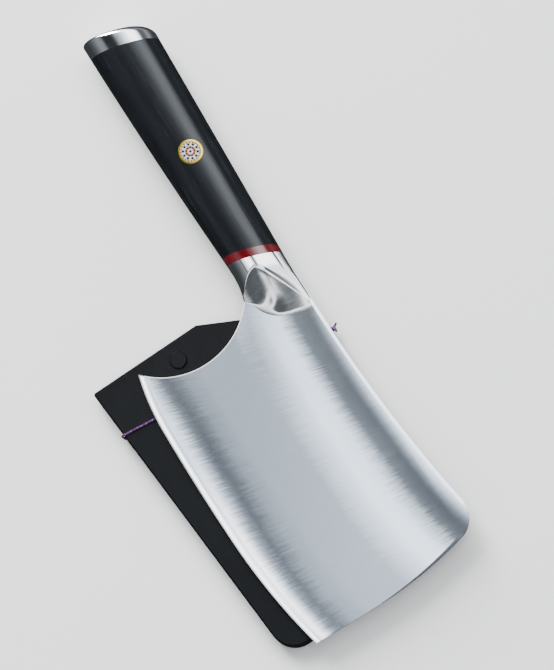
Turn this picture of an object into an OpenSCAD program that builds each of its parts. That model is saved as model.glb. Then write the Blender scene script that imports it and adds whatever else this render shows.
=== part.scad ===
// Meat cleaver lying on its slim black saya, the slip-on cover of the blade.
// X runs from the butt of the grip to the front of the blade, Y from the cutting edge to the spine,
// Z up. The origin is on the table, under the middle of the whole set.

/* [Blade] */
// Length of the blade from the tip of the heel to the front
blade_l = 151.6; // [150:0.2:153]
// Height of the blade from its lowest edge to the straight part of its spine
blade_h = 91.5; // [90.5:0.1:92.5]
// Thickness of the blade at the straight part of its spine
spine_t = 2.6; // [2.4:0.05:2.7]
// Thickness of the blade where the edge bevel starts
behind_edge_t = 0.6; // [0.4:0.05:0.8]
// Width of the edge bevel
bevel_w = 2; // [1.4:0.1:2.6]
// Distance from the spacer to the tip of the heel
heel_x = 15.4; // [15:0.1:15.8]
// Distance from the spacer to the lowest point of the cutting edge
low_edge_x = 72; // [66:0.5:78]
// Radius of the middle stretch of the cutting edge
edge_mid_r = 1100; // [1000:20:1300]
// How far the middle stretch runs back from the lowest point
edge_back_l = 27; // [24:0.5:30]
// How far the middle stretch runs forward from the lowest point
edge_fore_l = 35; // [32:0.5:38]
// Radius of the cutting edge towards the heel
edge_heel_r = 122; // [116:1:128]
// Radius of the cutting edge towards the front
edge_front_r = 306; // [290:2:330]
// Radius of the finger notch between the heel and the bolster
notch_r = 38.2; // [37:0.1:40]
// Height of the foremost point over the lowest edge
front_point_h = 43.2; // [40:0.2:46]
// Radius of the front below its foremost point
front_low_r = 700; // [600:10:900]
// Radius of the front above its foremost point
front_high_r = 195; // [188:1:205]
// Radius of the corner between the front and the spine
corner_r = 13; // [11:0.5:14]
// Distance from the spacer to the start of the spine's upward sweep
sweep_x = 45; // [40:0.5:50]
// Radius of the spine's upward sweep
sweep_r = 658; // [640:2:690]
// Width of the chamfer along the spine
spine_chamfer_w = 1.5; // [1.2:0.1:1.8]
// Depth of the chamfer along the spine
spine_chamfer_d = 0.6; // [0.4:0.05:0.8]

/* [Tang] */
// Distance from the spacer to the shoulder where the tang starts
shoulder_x = 14; // [13.6:0.1:14.2]
// Height of the tang at the shoulder
tang_front_h = 18; // [17:0.1:18.6]
// Height of the tang at its end
tang_end_h = 15; // [14.2:0.1:16]
// Depth of the tang's seat in the cap
tang_seat = 4.5; // [2.8:0.1:5]

/* [Grip] */
// Length of the wood along the grip's centre line
wood_l = 116; // [112:0.5:120]
// Length of the steel cap behind the wood
cap_l = 9; // [8.6:0.1:11]
// Length of the red spacer between the wood and the bolster
spacer_l = 4.2; // [3.6:0.1:5]
// Height of the grip at the spacer
grip_front_h = 25.3; // [24.8:0.1:26]
// Thickness of the grip at the spacer
grip_front_t = 22; // [21:0.2:23]
// Thickness of the grip at its butt
grip_butt_t = 25.6; // [25:0.1:26.2]
// How far the grip's back rises towards its butt
back_rise = 6.2; // [5:0.1:7]
// How far the grip's belly falls behind the spacer
belly_drop = 1.7; // [1:0.1:2.4]
// Distance from the spacer to the lowest point of the belly
belly_x = 105; // [95:1:115]
// Power of the grip's oval section, 2 for an ellipse
oval_power = 2.3; // [2:0.05:2.6]
// Slant of the spacer's faces
spacer_slant = 18.6; // [17:0.1:20]
// Slant of the cap's faces
cap_slant = 15.6; // [14:0.1:17]
// Edge radius of the cap on the belly side
cap_edge_r = 1.5; // [1:0.1:2]
// Edge radius of the cap on the back side
cap_corner_r = 5.5; // [4:0.1:6.5]

/* [Bolster] */
// Length of the bolster along the spine
bolster_l = 34; // [33:0.1:35]
// Distance from the spacer to the top of the fan-shaped hollow
hollow_x = 3.6; // [3.2:0.1:4.6]
// Distance from the spacer to the hollow's border on the belly side
hollow_belly_x = 12.8; // [12:0.1:13.4]
// How far the belly side flares down to meet the notch
neck_flare = 2.4; // [2:0.1:2.6]
// How far the hollow fans out towards the edge
fan_drop = 5; // [4.4:0.1:5.6]

/* [Mosaic pin] */
// Outer diameter of the mosaic pin
mosaic_d = 12; // [11:0.1:12.6]
// Wall of its brass tube
mosaic_wall = 1; // [0.9:0.05:1.1]
// Distance from the spacer to the mosaic pin
mosaic_x = 58.3; // [50:0.1:66]
// Diameter of the core rod
core_d = 0.9; // [0.7:0.1:1.2]
// Diameter of the rods of the inner and middle rings
rod_d = 0.75; // [0.6:0.05:0.85]
// Diameter of the rods of the outer ring
fine_rod_d = 0.62; // [0.5:0.02:0.66]
// Radius of the inner ring of rods
inner_ring_r = 1.97; // [1.8:0.01:2.1]
// Radius of the middle ring of rods
middle_ring_r = 3.46; // [3.3:0.01:3.55]
// Radius of the outer ring of rods
outer_ring_r = 4.5; // [4.4:0.01:4.55]

/* [Saya] */
// Play of the blade in the saya, each way
blade_play = 0.4; // [0.2:0.05:0.6]
// How far the tip of the heel stands out of the mouth
heel_out = 1.9; // [1.5:0.1:2]
// How much lower the saya gets towards its closed end
saya_taper = 8.9; // [8:0.1:9.2]
// Thickness of each cheek
cheek_t = 2.9; // [2.7:0.02:3]
// Room between the cheeks for the blade
slot_t = 3.2; // [3:0.02:3.4]
// Width of the rim across the closed end
rim_end_w = 2.4; // [2.2:0.1:2.8]
// Width of the rim along the spine side
rim_spine_w = 1.8; // [1.6:0.1:2.6]
// Width of the rim along the edge side, at the mouth
rim_edge_w = 6.8; // [6.6:0.1:7.4]
// Width of the rim along the edge side, at the closed end
rim_tip_w = 3.4; // [3:0.1:3.6]
// Height of the straight part of the mouth
mouth_h = 57.6; // [56:0.2:59]
// How far the mouth is cut back on the spine side
mouth_cut = 26.5; // [25:0.5:29]
// Corner radius at the closed end
saya_end_r = 11.5; // [10:0.5:12]
// Radius of the corner between the mouth and the spine side
saya_cut_r = 8; // [5:0.5:9]
// Radius of the other corners of the mouth
saya_mouth_r = 1.2; // [1:0.1:2]
// Corner radius of the room for the blade
slot_corner_r = 6.5; // [6:0.5:7]
// Chamfer round the outside of the cheeks
edge_break = 0.8; // [0.6:0.05:1]

/* [Lock pin] */
// Diameter of the lock pin's head
pin_head_d = 8.2; // [7.6:0.1:8.6]
// How far the head stands above the saya
pin_head_h = 1; // [0.8:0.05:1.1]
// Diameter of the lock pin's shaft
pin_d = 4; // [3.6:0.1:4.4]
// Distance of the lock pin from the mouth
pin_u = 9.3; // [8.6:0.1:9.4]
// Distance of the lock pin from the saya's edge side
pin_v = 42; // [38:0.5:46]
// Depth of the shaft's seat in the back cheek
pin_seat = 1.9; // [1.2:0.1:2]

/* [Cord] */
// Diameter of the cord round the saya
cord_d = 1.05; // [1:0.01:1.1]
// Distance of the cord from the mouth, at the edge side
cord_u = 24.6; // [23:0.2:27]
// Slant of the cord across the saya
cord_slant = 6.6; // [6:0.1:7.2]
// Length of the knot's two ends
cord_end_l = 2.2; // [1.6:0.1:3]

/* [Placing] */
// Turn of the saya against the cleaver
saya_turn = 1.3; // [1:0.1:1.6]
// How far the saya's mouth lies behind the tip of the heel
saya_back = 4.4; // [4:0.1:4.8]
// How far the saya reaches beyond the lowest edge
saya_out = 18.2; // [17.6:0.1:18.6]
// Gap between the lying blade and the cord
rest_gap = 0.3; // [0.2:0.02:0.4]

/* [Hidden] */

// Radial clearance of a pin in its bore
pin_fit = 0.03;
// Clearance between pieces that lie against each other
light_gap = 0.05;
// How far a cut runs past the surface that it cuts
overrun = 1;
// Angle by which one cut along the outline laps into the next
lap_angle = 0.2;
// Steps of a corner's arc and of a long arc in an outline
corner_steps = 8;
arc_steps = 20;
// Points round a section of the grip, and its steps along the wood
section_points = 48;
wood_steps = 8;
// Steps of the cap's rounded edge
edge_steps = 4;
// Steps of the bolster from the spacer to the hollow's border, and from there to the blade
body_steps = 7;
hollow_steps = 9;
// Facets of a circle of the pins and cord, and of the very large arcs
round_fn = 48;
large_fn = 1440;

// Half of the blade's thickness grows by this much for each millimetre towards the spine
grind_slope = (spine_t - behind_edge_t) / 2 / (blade_h - bevel_w);
// Slope of the bevel and of the spine's chamfer
bevel_slope = behind_edge_t / 2 / bevel_w;
chamfer_slope = spine_chamfer_d / spine_chamfer_w;
// Where the straight spine, the lowest edge and the foremost point lie in the cleaver's own frame,
// whose zero is the middle of the spacer's front face
spine_y = grip_front_h / 2 - grip_front_h * 0.014;
edge_y = spine_y - blade_h;
front_x = heel_x + blade_l;
front_y = edge_y + front_point_h;
// Centres of the arcs of the cutting edge, each tangent to the next
edge_back_a = asin(edge_back_l / edge_mid_r);
edge_fore_a = asin(edge_fore_l / edge_mid_r);
edge_mid_c = [low_edge_x, edge_y + edge_mid_r];
edge_heel_c = edge_mid_c + (edge_mid_r - edge_heel_r) * [-sin(edge_back_a), -cos(edge_back_a)];
edge_front_c = edge_mid_c + (edge_mid_r - edge_front_r) * [sin(edge_fore_a), -cos(edge_fore_a)];
// Centres of the arcs of the front, the spine's sweep and the corner between them
front_low_c = [front_x - front_low_r, front_y];
front_high_c = [front_x - front_high_r, front_y];
sweep_c = [sweep_x, spine_y + sweep_r];
corner_c = right_crossing(front_high_c, front_high_r - corner_r, sweep_c, sweep_r + corner_r);
corner_from_a = angle_of(corner_c - front_high_c);
corner_to_a = angle_of(sweep_c - corner_c);
blade_top_y = corner_c[1] + corner_r;
// The finger notch is an arc through the tip of the heel and the lower end of the shoulder
heel_y = edge_heel_c[1] - sqrt(pow(edge_heel_r, 2) - pow(heel_x - edge_heel_c[0], 2));
neck_y = -grip_front_h / 2 - neck_flare;
notch_chord = [shoulder_x - heel_x, neck_y - heel_y];
notch_c = [heel_x, heel_y] + notch_chord / 2
    + sqrt(pow(notch_r, 2) - pow(norm(notch_chord) / 2, 2))
    * [-notch_chord[1], notch_chord[0]] / norm(notch_chord);

grip_l = spacer_l + wood_l + cap_l;
cap_s = spacer_l + wood_l;
tang_end_x = -cap_s - tang_seat;
mosaic_bore_r = mosaic_d / 2 - mosaic_wall;
mosaic_y = grip_mid_y(mosaic_x) + mosaic_d * 0.1;
rod_gap = pin_fit * 2;
// How many rods each ring of the mosaic has, and where its first rod stands
inner_count = 9;
inner_turn = 32;
middle_count = 10;
middle_turn = 21;
outer_count = 20;
outer_turn = 10;

saya_t = 2 * cheek_t + slot_t;
saya_l = blade_l - heel_out + blade_play + rim_end_w;
saya_h = rim_edge_w + blade_play + (blade_top_y - edge_y) + blade_play + rim_spine_w;
slot_top_v = saya_h - rim_spine_w;
slot_knee_share = 0.577;
saya_bottom = cord_d + light_gap;
saya_top = saya_bottom + saya_t;
cord_r = cord_d / 2;
cord_bend_r = edge_break + light_gap + cord_r;
cord_v = saya_taper * cord_u / saya_l;
cord_across = (saya_h - cord_v) / cos(cord_slant);
knot_r = cord_d * 0.8;
knot_end_lean = 32;

// Height of the blade's middle plane over the table
blade_z = max(saya_top + cord_d + light_gap + rest_gap + spine_t / 2, grip_butt_t / 2);
// Shift that puts the origin under the middle of the whole set
set_back_x = min([for (i = [0:edge_steps]) each [for (p = cap_section(i / edge_steps)) p[0]]]);
set_low_y = edge_y - saya_out;
set_shift = [-(front_x + set_back_x) / 2, -(blade_top_y + set_low_y) / 2, blade_z];

function angle_of(v) = atan2(v[1], v[0]);
function polar(r, a) = r * [cos(a), sin(a)];
function mix(a, b, t) = a + (b - a) * t;
function smooth(t) = let (c = min(1, max(0, t))) c * c * (3 - 2 * c);
function arc(centre, r, from, to, steps) = [for (i = [0:steps]) centre + polar(r, mix(from, to, i / steps))];

// The crossing of two circles that lies to the right of the line between their centres
function right_crossing(c1, r1, c2, r2) =
    let (
        d = norm(c2 - c1),
        along = (r1 * r1 - r2 * r2 + d * d) / (2 * d),
        aside = sqrt(r1 * r1 - along * along),
        u = (c2 - c1) / d
    )
    c1 + along * u + aside * [u[1], -u[0]];

// A convex outline with round corners, drawn in by inset without changing its count of points
function rounded(corners, radii, inset) =
    let (n = len(corners))
    [for (i = [0:n - 1])
        let (
            before = corners[(i + n - 1) % n],
            after = corners[(i + 1) % n],
            a_in = angle_of(corners[i] - before),
            a_out = angle_of(after - corners[i]),
            turn = (a_out - a_in + 360) % 360,
            start = corners[i] - polar(radii[i] * tan(turn / 2), a_in),
            centre = start + polar(radii[i], a_in + 90)
        )
        each arc(centre, radii[i] - inset, a_in - 90, a_in - 90 + turn, corner_steps)];

// Sections of the grip at a distance s behind the spacer's front face
function grip_back_y(s) = grip_front_h / 2 + back_rise * s / grip_l;
function grip_belly_y(s) = -grip_front_h / 2 - belly_drop * (1 - pow(1 - s / belly_x, 2));
function grip_mid_y(s) = (grip_back_y(s) + grip_belly_y(s)) / 2;
function grip_half_h(s) = (grip_back_y(s) - grip_belly_y(s)) / 2;
function grip_half_t(s) = mix(grip_front_t, grip_butt_t, s / grip_l) / 2;
function grip_slant(s) = mix(spacer_slant, cap_slant, min(1, max(0, (s - spacer_l) / wood_l)));
function oval_part(c) = sign(c) * pow(abs(c), 2 / oval_power);
function oval(a) = [oval_part(cos(a)), oval_part(sin(a))];
function grip_point(s, a, share = 1) =
    let (o = oval(a) * share, dy = grip_half_h(s) * o[0])
    [-s + dy * tan(grip_slant(s)), grip_mid_y(s) + dy, grip_half_t(s) * o[1]];
function section_angles() = [for (i = [0:section_points - 1]) 360 * i / section_points];
function grip_section(s) = [for (a = section_angles()) grip_point(s, a)];

// The cap's edge radius is small on the belly side and large on the back side
function cap_r(a) = mix(cap_edge_r, cap_corner_r, pow((1 + cos(a)) / 2, 2));
function cap_section(t) =
    [for (a = section_angles())
        let (s = grip_l - cap_r(a) * (1 - sin(t * 90)))
        grip_point(s, a, 1 - cap_r(a) * (1 - cos(t * 90)) / grip_half_t(s))];

// Half of the blade's thickness at a height y
function face_z(y) = spine_t / 2 - max(0, spine_y - y) * grind_slope;

// The bolster keeps the grip's section up to the hollow's border, while it gets thinner,
// and from there a hollow falls to the face of the blade: almost straight on the belly side, with a
// tight bend at its foot, and in one even curve on the back side.
function bolster_y(v, x) =
    let (t = max(0, x) / shoulder_x)
    v > 0
        ? v * mix(grip_front_h / 2, spine_y - light_gap, min(1, t))
        : v * grip_front_h / 2 - v * v * neck_flare * t * t;
function bolster_half_t(x) =
    mix(grip_front_t / 2, spine_t / 2, pow(max(0, x) / bolster_l, 1.8));
hollow_top_share = -0.12;
function border_x(v) =
    v < hollow_top_share
        ? mix(hollow_x, hollow_belly_x, pow((hollow_top_share - v) / (hollow_top_share + 1), 2))
        : mix(hollow_x, bolster_l, pow((v - hollow_top_share) / (1 - hollow_top_share), 1.15));
function hollow_end_x(v) = mix(bolster_l + light_gap, shoulder_x + light_gap, pow((1 - v) / 2, 1.9));
function hollow_end_y(v) =
    bolster_y(v, min(hollow_end_x(v), shoulder_x)) - fan_drop * pow(1 - v * v, 2) * (1 - 0.6 * v);
function hollow_straight(v) = mix(0.15, 0.72, smooth((hollow_top_share + 0.2 - v) / 0.4));
function hollow_fall(t, k) =
    let (b = (1 - k) / (1 - k + 2 * k))
    t < k ? 1 - (1 - b) * t / k : b * pow((1 - t) / (1 - k), 2);
function bolster_body_point(a, t) =
    let (
        o = oval(a),
        x = mix(o[0] * grip_front_h / 2 * tan(spacer_slant), border_x(o[0]), t)
    )
    [x, bolster_y(o[0], x), bolster_half_t(x) * o[1]];
function bolster_hollow_point(a, t) =
    let (
        v = oval(a)[0],
        top = bolster_body_point(a, 1),
        end = [hollow_end_x(v), hollow_end_y(v)],
        side = abs(sin(a)) < 0.001 ? 0 : sign(sin(a)),
        foot_z = side * (face_z(end[1]) - light_gap)
    )
    [
        mix(top[0], end[0], t),
        mix(top[1], end[1], t),
        mix(foot_z, top[2], hollow_fall(t, hollow_straight(v)))
    ];

// A solid between rings of as many points each, closed at both ends
module loft(rings) {
    n = len(rings[0]);
    m = len(rings);
    sides = [for (i = [0:m - 2], j = [0:n - 1])
        let (a = i * n + j, b = i * n + (j + 1) % n)
        each [[a, b, b + n], [a, b + n, a + n]]];
    ends = [[for (j = [n - 1:-1:0]) j], [for (j = [0:n - 1]) (m - 1) * n + j]];
    polyhedron(points = [for (r = rings) each r], faces = concat(sides, ends), convexity = 6);
}

// A block whose foot and sides are straight and whose top edge is chamfered
module chamfered_plate(corners, radii, t, chamfer) {
    full = rounded(corners, radii, 0);
    drawn_in = rounded(corners, radii, chamfer);
    loft([
        [for (p = drawn_in) [p[0], p[1], t]],
        [for (p = full) [p[0], p[1], t - chamfer]],
        [for (p = full) [p[0], p[1], 0]]
    ]);
}

module on_cleaver() { translate(set_shift) children(); }

module on_saya() {
    translate([set_shift[0], set_shift[1], 0])
        translate([heel_x - saya_back, edge_y - saya_out, saya_bottom])
            rotate([0, 0, saya_turn])
                children();
}

// The blade's outline, with room beyond the cutting edge that the bevel takes away
function blade_outline() = concat(
    [[shoulder_x, spine_y]],
    arc(sweep_c, sweep_r, 270, corner_to_a + 180, arc_steps),
    arc(corner_c, corner_r, corner_to_a, corner_from_a, corner_steps),
    arc(front_high_c, front_high_r, corner_from_a, 0, arc_steps),
    arc(front_low_c, front_low_r, 0, -asin((front_point_h + overrun) / front_low_r), corner_steps),
    [[shoulder_x, edge_y - overrun]]
);

// Cuts everything outside an arc of the cutting edge, down to a bevel on each face
module bevel_cut(centre, r, from, to) {
    reach = bevel_w * 5;
    top = reach * bevel_slope;
    past = blade_l / 3;
    translate([centre[0], centre[1], 0])
        rotate([0, 0, from])
            rotate_extrude(angle = to - from, $fn = large_fn)
                polygon([
                    [r, 0], [r - reach, top], [r + past, top], [r + past, -top], [r - reach, -top]
                ]);
}

// Outline of the cut that chamfers one face, where w grows into the blade
function chamfer_profile() =
    let (top = spine_t, past = spine_chamfer_w * 1.5)
    [
        [-overrun, spine_t / 2 - spine_chamfer_d - overrun * chamfer_slope],
        [past, spine_t / 2 - spine_chamfer_d + past * chamfer_slope],
        [past, top],
        [-overrun, top]
    ];

module chamfer_arc(centre, r, from, to, side) {
    translate([centre[0], centre[1], 0])
        rotate([0, 0, from])
            rotate_extrude(angle = to - from, $fn = large_fn)
                polygon([for (p = chamfer_profile()) [r + side * p[0], p[1]]]);
}

module spine_chamfers() {
    translate([shoulder_x, spine_y, 0])
        rotate([90, 0, 90])
            linear_extrude(sweep_x - shoulder_x)
                polygon([for (p = chamfer_profile()) [-p[0], p[1]]]);
    chamfer_arc(sweep_c, sweep_r, 270 - lap_angle, corner_to_a + 180 + lap_angle, 1);
    chamfer_arc(corner_c, corner_r, corner_from_a, corner_to_a, -1);
    chamfer_arc(front_high_c, front_high_r, 0, corner_from_a + lap_angle, -1);
}

module blade_plate() {
    slab = spine_t * 2;
    difference() {
        intersection() {
            translate([0, 0, -slab / 2])
                linear_extrude(slab)
                    polygon(blade_outline());
            translate([shoulder_x - overrun, 0, 0])
                rotate([90, 0, 90])
                    linear_extrude(front_x - shoulder_x + 2 * overrun)
                        polygon([
                            for (p = [
                                [blade_top_y + overrun, 1], [spine_y, 1], [edge_y - 2 * overrun, 1],
                                [edge_y - 2 * overrun, -1], [spine_y, -1], [blade_top_y + overrun, -1]
                            ])
                                [p[0], p[1] * face_z(p[0])]
                        ]);
        }
        heel_a = asin((edge_heel_c[0] - heel_x + 5 * overrun) / edge_heel_r);
        front_a = asin((front_x - edge_front_c[0] + 5 * overrun) / edge_front_r);
        bevel_cut(edge_heel_c, edge_heel_r, 270 - heel_a, 270 - edge_back_a);
        bevel_cut(edge_mid_c, edge_mid_r, 270 - edge_back_a - lap_angle, 270 + edge_fore_a + lap_angle);
        bevel_cut(edge_front_c, edge_front_r, 270 + edge_fore_a, 270 + front_a);
        spine_chamfers();
        mirror([0, 0, 1]) spine_chamfers();
        translate([notch_c[0], notch_c[1], -slab])
            cylinder(h = 2 * slab, r = notch_r, $fn = large_fn / 4);
    }
}

module tang() {
    end_y = grip_mid_y(-tang_end_x);
    translate([0, 0, -spine_t / 2])
        linear_extrude(spine_t)
            polygon([
                [shoulder_x, -tang_front_h / 2], [shoulder_x, tang_front_h / 2],
                [tang_end_x, end_y + tang_end_h / 2], [tang_end_x, end_y - tang_end_h / 2]
            ]);
}

module mosaic_bore() {
    translate([-mosaic_x, mosaic_y, -grip_butt_t])
        cylinder(h = 2 * grip_butt_t, d = mosaic_d + 2 * pin_fit, $fn = round_fn);
}

module blade() {
    color("gainsboro")
        on_cleaver()
            difference() {
                union() {
                    blade_plate();
                    tang();
                }
                mosaic_bore();
            }
}

// The bolster's skin runs from the spacer over the round body and down the hollow on both faces.
module bolster_form() {
    body = [for (i = [0:body_steps]) [for (a = section_angles()) bolster_body_point(a, i / body_steps)]];
    hollow = [for (i = [1:hollow_steps])
        [for (a = section_angles()) bolster_hollow_point(a, i / hollow_steps)]];
    rings = concat(body, hollow);
    n = section_points;
    m = len(rings);
    sides = [for (i = [0:m - 2], j = [0:n - 1])
        let (a = i * n + j, b = i * n + (j + 1) % n)
        each [[a, a + n, b], [b, a + n, b + n]]];
    back = [[for (j = [0:n - 1]) j]];
    last = (m - 1) * n;
    front = [for (j = [0:n / 2 - 1])
        let (up = last + j, up_next = last + j + 1, low = last + (n - j) % n, low_next = last + n - j - 1)
        each concat(
            j > 0 ? [[up, low, up_next]] : [],
            j < n / 2 - 1 ? [[up_next, low, low_next]] : []
        )];
    polyhedron(points = [for (r = rings) each r], faces = concat(sides, back, front), convexity = 8);
}

module bolster() {
    color("silver")
        on_cleaver()
            difference() {
                bolster_form();
                blade_plate();
                tang();
            }
}

module red_spacer() {
    color("firebrick")
        on_cleaver()
            difference() {
                loft([grip_section(0), grip_section(spacer_l)]);
                tang();
            }
}

module handle() {
    color([0.13, 0.14, 0.16])
        on_cleaver()
            difference() {
                loft([for (i = [0:wood_steps]) grip_section(spacer_l + wood_l * i / wood_steps)]);
                tang();
                mosaic_bore();
            }
}

module end_cap() {
    color("silver")
        on_cleaver()
            difference() {
                loft(concat([grip_section(cap_s)], [for (i = [0:edge_steps]) cap_section(i / edge_steps)]));
                tang();
            }
}

// Trims what stands through the grip to the grip's own surface
module flush_with_grip() {
    intersection() {
        children();
        on_cleaver()
            loft([for (i = [0:wood_steps]) grip_section(spacer_l + wood_l * i / wood_steps)]);
    }
}

module mosaic_rod(d, at = [0, 0]) {
    on_cleaver()
        translate([at[0] - mosaic_x, at[1] + mosaic_y, -grip_butt_t])
            cylinder(h = 2 * grip_butt_t, d = d, $fn = round_fn / 2);
}

module mosaic_ring(count, r, d, turn) {
    for (i = [0:count - 1])
        mosaic_rod(d, polar(r, turn + 360 * i / count));
}

module mosaic_tube() {
    color("goldenrod")
        flush_with_grip()
            on_cleaver()
                translate([-mosaic_x, mosaic_y, -grip_butt_t])
                    difference() {
                        cylinder(h = 2 * grip_butt_t, d = mosaic_d, $fn = round_fn);
                        translate([0, 0, -overrun])
                            cylinder(h = 2 * grip_butt_t + 2 * overrun, r = mosaic_bore_r, $fn = round_fn);
                    }
}

module mosaic_resin() {
    color("white")
        flush_with_grip()
            difference() {
                mosaic_rod(2 * (mosaic_bore_r - pin_fit));
                mosaic_rod(core_d + rod_gap);
                mosaic_ring(inner_count, inner_ring_r, rod_d + rod_gap, inner_turn);
                mosaic_ring(middle_count, middle_ring_r, rod_d + rod_gap, middle_turn);
                mosaic_ring(outer_count, outer_ring_r, fine_rod_d + rod_gap, outer_turn);
            }
}

module mosaic_core() { color("black") flush_with_grip() mosaic_rod(core_d); }

module mosaic_inner_rods() {
    color("chocolate")
        flush_with_grip()
            mosaic_ring(inner_count, inner_ring_r, rod_d, inner_turn);
}

module mosaic_middle_rods() {
    color("black")
        flush_with_grip()
            mosaic_ring(middle_count, middle_ring_r, rod_d, middle_turn);
}

module mosaic_outer_rods() {
    color("chocolate")
        flush_with_grip()
            mosaic_ring(outer_count, outer_ring_r, fine_rod_d, outer_turn);
}

saya_corners = [[0, 0], [saya_l, saya_taper], [saya_l, saya_h], [mouth_cut, saya_h], [0, mouth_h]];
saya_radii = [saya_mouth_r, saya_end_r, saya_end_r, saya_cut_r, saya_mouth_r];

module pin_bore(from, depth) {
    translate([pin_u, pin_v, from])
        cylinder(h = depth, d = pin_d + 2 * pin_fit, $fn = round_fn);
}

module saya_front() {
    color([0.1, 0.1, 0.11])
        on_saya()
            difference() {
                translate([0, 0, cheek_t + slot_t])
                    chamfered_plate(saya_corners, saya_radii, cheek_t, edge_break);
                pin_bore(cheek_t, saya_t);
            }
}

module saya_back() {
    color([0.1, 0.1, 0.11])
        on_saya()
            difference() {
                translate([0, 0, cheek_t])
                    mirror([0, 0, 1])
                        chamfered_plate(saya_corners, saya_radii, cheek_t, edge_break);
                pin_bore(cheek_t - pin_seat, saya_t);
            }
}

// The rim keeps the cheeks apart and leaves the room for the blade open at the mouth.
module saya_rim() {
    slot_corners = [
        [-saya_l, rim_edge_w], [saya_l * slot_knee_share, rim_edge_w],
        [saya_l - rim_end_w, saya_taper + rim_tip_w], [saya_l - rim_end_w, slot_top_v],
        [-saya_l, slot_top_v]
    ];
    slot_radii = [saya_mouth_r, saya_end_r, slot_corner_r, slot_corner_r, saya_mouth_r];
    color([0.08, 0.08, 0.09])
        on_saya()
            translate([0, 0, cheek_t])
                linear_extrude(slot_t)
                    difference() {
                        polygon(rounded(saya_corners, saya_radii, 0));
                        polygon(rounded(slot_corners, slot_radii, 0));
                    }
}

module lock_pin() {
    shaft_l = pin_seat + slot_t + cheek_t - light_gap;
    crown = pin_head_h * 0.4;
    color([0.12, 0.12, 0.13])
        on_saya()
            translate([pin_u, pin_v, saya_t - cheek_t - slot_t - pin_seat + light_gap])
                rotate_extrude($fn = round_fn)
                    polygon([
                        [0, 0], [pin_d / 2 - light_gap, 0], [pin_d / 2, light_gap], [pin_d / 2, shaft_l],
                        [pin_head_d / 2, shaft_l], [pin_head_d / 2, shaft_l + pin_head_h - crown],
                        [pin_head_d / 2 - crown, shaft_l + pin_head_h], [0, shaft_l + pin_head_h]
                    ]);
}

// Puts the cord's own frame on the saya: its first axis runs across the saya, its third axis up.
module on_cord() {
    on_saya()
        translate([cord_u, cord_v, saya_t / 2])
            rotate([0, 0, 90 - cord_slant])
                children();
}

module cord_run(from, to) {
    run = to - from;
    translate(from)
        rotate([0, atan2(norm([run[0], run[1]]), run[2]), angle_of(run)])
            cylinder(h = norm(run), r = cord_r, $fn = round_fn / 2);
}

module cord_bend(at, from) {
    translate(at)
        rotate([90, 0, 0])
            rotate([0, 0, from])
                rotate_extrude(angle = 90, $fn = round_fn)
                    translate([cord_bend_r, 0])
                        circle(r = cord_r, $fn = round_fn / 2);
}

// The cord's loop: four straight runs joined by four bends, close round the saya
module saya_cord() {
    out = cord_r + light_gap;
    low = -saya_t / 2;
    high = saya_t / 2;
    near = cord_bend_r - out;
    far = cord_across - near;
    color("indigo")
        on_cord() {
            cord_run([near, 0, high + out], [far, 0, high + out]);
            cord_run([near, 0, low - out], [far, 0, low - out]);
            cord_run([-out, 0, low + near], [-out, 0, high - near]);
            cord_run([cord_across + out, 0, low + near], [cord_across + out, 0, high - near]);
            cord_bend([near, 0, high - near], 90);
            cord_bend([far, 0, high - near], 0);
            cord_bend([near, 0, low + near], 180);
            cord_bend([far, 0, low + near], 270);
        }
}

// A short end of cord with a blunted tip
module cord_end() {
    blunt = cord_r * 0.4;
    rotate_extrude($fn = round_fn / 2)
        polygon([[0, 0], [cord_r, 0], [cord_r, cord_end_l - blunt], [cord_r - blunt, cord_end_l], [0, cord_end_l]]);
}

// The knot sits on the loop's side run: one turn of cord and two short ends.
module cord_knot() {
    seat = cord_across + 2 * (cord_r + light_gap) + cord_r + light_gap;
    color("indigo")
        on_cord()
            translate([seat, 0, 0]) {
                rotate([0, 90, 0])
                    rotate_extrude($fn = round_fn)
                        translate([knot_r, 0])
                            circle(r = cord_r, $fn = round_fn / 2);
                for (side = [-1, 1])
                    translate([0, side * knot_r * 0.6, 0])
                        rotate([-side * knot_end_lean, 90, 0])
                            cord_end();
            }
}

blade();
bolster();
red_spacer();
handle();
end_cap();
mosaic_tube();
mosaic_resin();
mosaic_core();
mosaic_inner_rods();
mosaic_middle_rods();
mosaic_outer_rods();
saya_front();
saya_back();
saya_rim();
saya_cord();
cord_knot();
lock_pin();
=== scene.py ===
"""Looks of the meat cleaver on its saya: fine meshes, materials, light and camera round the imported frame."""

import math

import bmesh
import bpy
import numpy as np
from mathutils import Matrix, Vector

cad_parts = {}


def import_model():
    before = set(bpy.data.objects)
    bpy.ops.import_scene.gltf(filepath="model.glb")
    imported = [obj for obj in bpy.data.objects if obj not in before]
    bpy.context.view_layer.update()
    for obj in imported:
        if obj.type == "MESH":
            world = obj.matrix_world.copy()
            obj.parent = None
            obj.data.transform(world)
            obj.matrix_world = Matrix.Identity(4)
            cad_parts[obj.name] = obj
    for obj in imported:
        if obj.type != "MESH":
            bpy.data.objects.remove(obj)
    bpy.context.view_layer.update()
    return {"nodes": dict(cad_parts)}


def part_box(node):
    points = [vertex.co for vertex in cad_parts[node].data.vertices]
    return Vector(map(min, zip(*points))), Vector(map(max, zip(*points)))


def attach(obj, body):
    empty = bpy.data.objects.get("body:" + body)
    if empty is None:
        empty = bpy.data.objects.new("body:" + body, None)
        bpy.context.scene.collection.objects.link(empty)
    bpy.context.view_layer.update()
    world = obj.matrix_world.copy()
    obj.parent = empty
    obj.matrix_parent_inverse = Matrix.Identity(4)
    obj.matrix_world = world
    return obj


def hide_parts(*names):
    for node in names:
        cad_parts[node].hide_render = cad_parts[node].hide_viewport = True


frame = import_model()

MM = 0.001
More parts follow.
